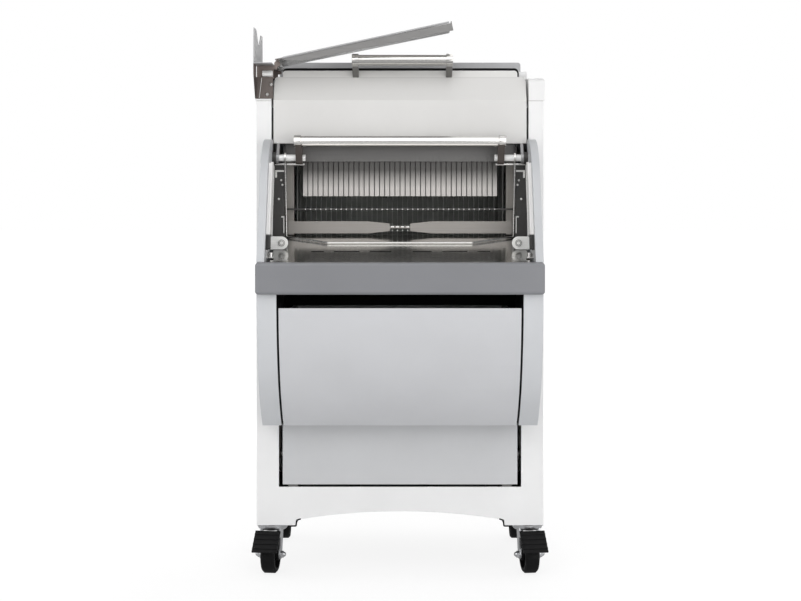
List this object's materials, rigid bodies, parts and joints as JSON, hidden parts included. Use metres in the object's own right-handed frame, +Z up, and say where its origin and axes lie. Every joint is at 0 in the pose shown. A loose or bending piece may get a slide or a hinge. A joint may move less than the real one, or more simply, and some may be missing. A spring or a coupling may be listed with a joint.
{
  "type": "bread slicer machine",
  "caption": "Free-standing bread slicer on casters with a hood, upright blades in an open loaf chamber, a crumb drawer and a bagging scoop.",
  "frame": {"origin": "on the floor under the middle of the machine's box", "axes": "+Z up, -Y towards the front, +X to the right seen from the front"},
  "size_m": [0.6256, 0.72, 1.174],
  "materials": {
    "white_paint": "smooth powder coat",
    "hood_paint": "smooth powder coat",
    "grey_panel": "satin paint",
    "drawer_grey": "satin paint",
    "cheek_plastic": "smooth moulded",
    "bumper_plastic": "smooth moulded",
    "stainless": "brushed",
    "polished": "polished",
    "dark_steel": "dark satin",
    "blade_steel": "ground",
    "cast_blue": "painted casting",
    "belt_rubber": "matt",
    "black_plastic": "fine grain",
    "wheel_rubber": "worn tread",
    "zinc": "zinc plated",
    "bronze_bracket": "dark satin"
  },
  "bodies": {
    "machine_body": {"side_panel_left": "white_paint", "side_panel_right": "white_paint", "rear_panel": "white_paint", "base_frame": "dark_steel", "base_front": "white_paint", "column_caps": "white_paint", "top_cover": "white_paint", "cheek_left": "cheek_plastic", "cheek_right": "cheek_plastic", "cheek_trims": "stainless", "bumper_bar": "bumper_plastic", "lower_front_panel": "grey_panel", "loaf_table": "polished", "liners": "dark_steel", "pivot_plates": "dark_steel", "table_clamps": "stainless", "table_latches": "stainless", "chamber_beam": "dark_steel", "blade_comb": "stainless", "blade_guide_bar": "dark_steel", "blade_guards": "stainless", "rear_bread_tray": "stainless", "frame_guides": "dark_steel", "motor": "cast_blue", "motor_saddles": "dark_steel", "bearing_blocks": "dark_steel", "drive_belt": "belt_rubber", "drawer_runners": "dark_steel", "scoop_bracket": "stainless", "scoop_fork": "stainless", "cord_gland": "black_plastic", "caster_plates": "zinc", "rear_caster_forks": "zinc"},
    "rear_lid": {"rear_lid": "grey_panel"},
    "hood": {"hood_cover": "hood_paint", "grab_tube": "stainless", "grab_posts": "stainless", "handle_tube": "stainless", "handle_caps": "stainless", "handle_brackets": "bronze_bracket", "hinge_arms": "stainless", "pivot_shafts": "stainless"},
    "bail": {"loaf_bail": "stainless"},
    "front_blades": {"blade_frame_front": "dark_steel", "blades_front": "blade_steel"},
    "rear_blades": {"blade_frame_rear": "dark_steel", "blades_rear": "blade_steel"},
    "crank": {"crankshaft": "blade_steel"},
    "rotor": {"motor_pulley": "blade_steel"},
    "drawer": {"crumb_drawer": "drawer_grey", "drawer_front": "drawer_grey"},
    "scoop": {"scoop_tray": "stainless"},
    "fork_left": {"caster_fork_left": "zinc"},
    "fork_right": {"caster_fork_right": "zinc"},
    "pedal_left": {"brake_pedal_left": "black_plastic"},
    "pedal_right": {"brake_pedal_right": "black_plastic"},
    "front_wheel_left": {"wheel_front_left": "wheel_rubber"},
    "front_wheel_right": {"wheel_front_right": "wheel_rubber"},
    "rear_wheel_left": {"wheel_rear_left": "wheel_rubber"},
    "rear_wheel_right": {"wheel_rear_right": "wheel_rubber"}
  },
  "joints": [
    {"name": "hood_tilt", "type": "hinge", "parent": "machine_body", "child": "hood", "pos_m": [0, -0.125, 0.887], "axis": [1, 0, 0], "range_deg": [0, 60]},
    {"name": "bail_swing", "type": "hinge", "parent": "machine_body", "child": "bail", "pos_m": [0, -0.125, 0.887], "axis": [-1, 0, 0], "range_deg": [0, 85]},
    {"name": "lid_lift", "type": "hinge", "parent": "machine_body", "child": "rear_lid", "pos_m": [0, 0.346, 1.0624], "axis": [-1, 0, 0], "range_deg": [0, 75]},
    {"name": "front_blade_stroke", "type": "slide", "parent": "machine_body", "child": "front_blades", "axis": [0, 0, 1], "range_m": [-0.015, 0.015]},
    {"name": "rear_blade_stroke", "type": "slide", "parent": "machine_body", "child": "rear_blades", "axis": [0, 0, 1], "range_m": [-0.015, 0.015]},
    {"name": "crank_spin", "type": "hinge", "parent": "machine_body", "child": "crank", "pos_m": [0, -0.039, 0.251], "axis": [1, 0, 0], "continuous": true},
    {"name": "motor_spin", "type": "hinge", "parent": "machine_body", "child": "rotor", "pos_m": [0, 0.19, 0.227], "axis": [1, 0, 0], "continuous": true},
    {"name": "drawer_slide", "type": "slide", "parent": "machine_body", "child": "drawer", "axis": [0, -1, 0], "range_m": [0, 0.3]},
    {"name": "scoop_fold", "type": "hinge", "parent": "machine_body", "child": "scoop", "pos_m": [-0.262, 0, 1.088], "axis": [0, -1, 0], "range_deg": [0, 75]},
    {"name": "swivel_left", "type": "hinge", "parent": "machine_body", "child": "fork_left", "pos_m": [-0.274, -0.064, 0.106], "axis": [0, 0, 1], "continuous": true},
    {"name": "front_roll_left", "type": "hinge", "parent": "fork_left", "child": "front_wheel_left", "pos_m": [-0.27678, -0.08381, 0.04], "axis": [0.9903, -0.1392, 0], "continuous": true},
    {"name": "brake_left", "type": "hinge", "parent": "fork_left", "child": "pedal_left", "pos_m": [-0.27929, -0.10163, 0.084], "axis": [-0.9903, 0.1392, 0], "range_deg": [0, 10]},
    {"name": "rear_roll_left", "type": "hinge", "parent": "machine_body", "child": "rear_wheel_left", "pos_m": [-0.274, 0.292, 0.04], "axis": [1, 0, 0], "continuous": true},
    {"name": "swivel_right", "type": "hinge", "parent": "machine_body", "child": "fork_right", "pos_m": [0.274, -0.064, 0.106], "axis": [0, 0, 1], "continuous": true},
    {"name": "front_roll_right", "type": "hinge", "parent": "fork_right", "child": "front_wheel_right", "pos_m": [0.27678, -0.08381, 0.04], "axis": [0.9903, 0.1392, 0], "continuous": true},
    {"name": "brake_right", "type": "hinge", "parent": "fork_right", "child": "pedal_right", "pos_m": [0.27929, -0.10163, 0.084], "axis": [-0.9903, -0.1392, 0], "range_deg": [0, 10]},
    {"name": "rear_roll_right", "type": "hinge", "parent": "machine_body", "child": "rear_wheel_right", "pos_m": [0.274, 0.292, 0.04], "axis": [1, 0, 0], "continuous": true}
  ],
  "couplings": [
    {"joint": "rear_blade_stroke", "follows": "front_blade_stroke", "ratio": -1},
    {"joint": "motor_spin", "follows": "crank_spin", "ratio": 1.8571}
  ]
}
